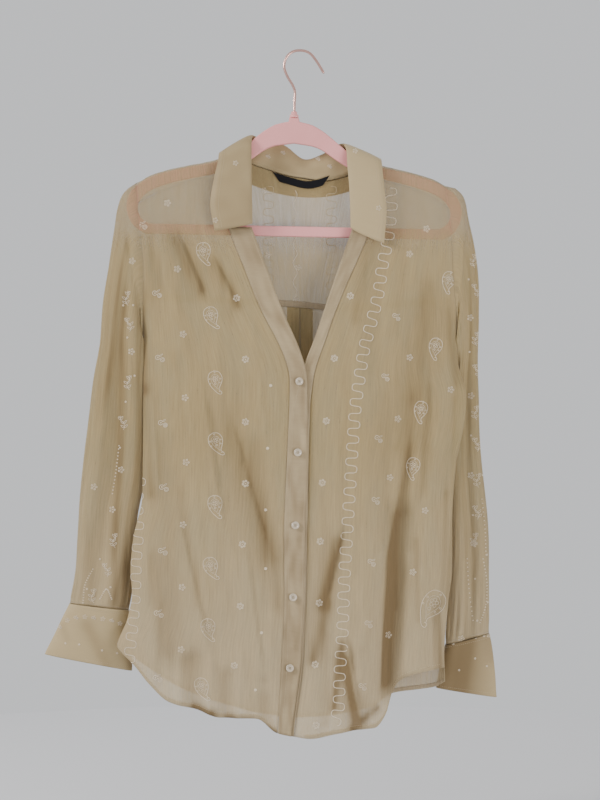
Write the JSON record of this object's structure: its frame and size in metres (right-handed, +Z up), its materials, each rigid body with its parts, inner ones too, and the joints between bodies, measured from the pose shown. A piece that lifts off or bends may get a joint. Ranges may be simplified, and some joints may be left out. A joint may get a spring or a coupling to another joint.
{
  "type": "embroidered blouse on a hanger",
  "caption": "Sheer long-sleeved blouse with a rolled collar, open V neck, buttoned front bands, back yoke with a box pleat, deep cuffs and a curved shirt-tail hem, hung on a slim hanger.",
  "frame": {"origin": "inside top of the hanger's wire hook, where it rests on a rail", "axes": "+Z up along the hook's shank, -Y out of the blouse's front, +X to the right seen from the front, which is the wearer's left"},
  "size_m": [0.5798, 0.076, 0.8713],
  "materials": {
    "cloth": "sheer crinkled beige chiffon",
    "plain_cloth": "doubled smooth beige cloth",
    "hanger": "satin pink",
    "hook": "rose-gold plated wire",
    "button": "pearly",
    "label": "black satin, bare"
  },
  "bodies": {
    "root": {"hanger_body": "hanger", "hanger_hook": "hook", "right_front": "cloth", "left_front": "cloth", "right_band": "plain_cloth", "left_band": "plain_cloth", "back": "cloth", "back_yoke": "cloth", "collar": "plain_cloth", "neck_label": "label", "right_sleeve": "cloth", "left_sleeve": "cloth", "right_cuff": "plain_cloth", "left_cuff": "plain_cloth", "button_1": "button", "button_2": "button", "button_3": "button", "button_4": "button", "button_5": "button", "right_cuff_button": "button", "left_cuff_button": "button"}
  },
  "joints": []
}
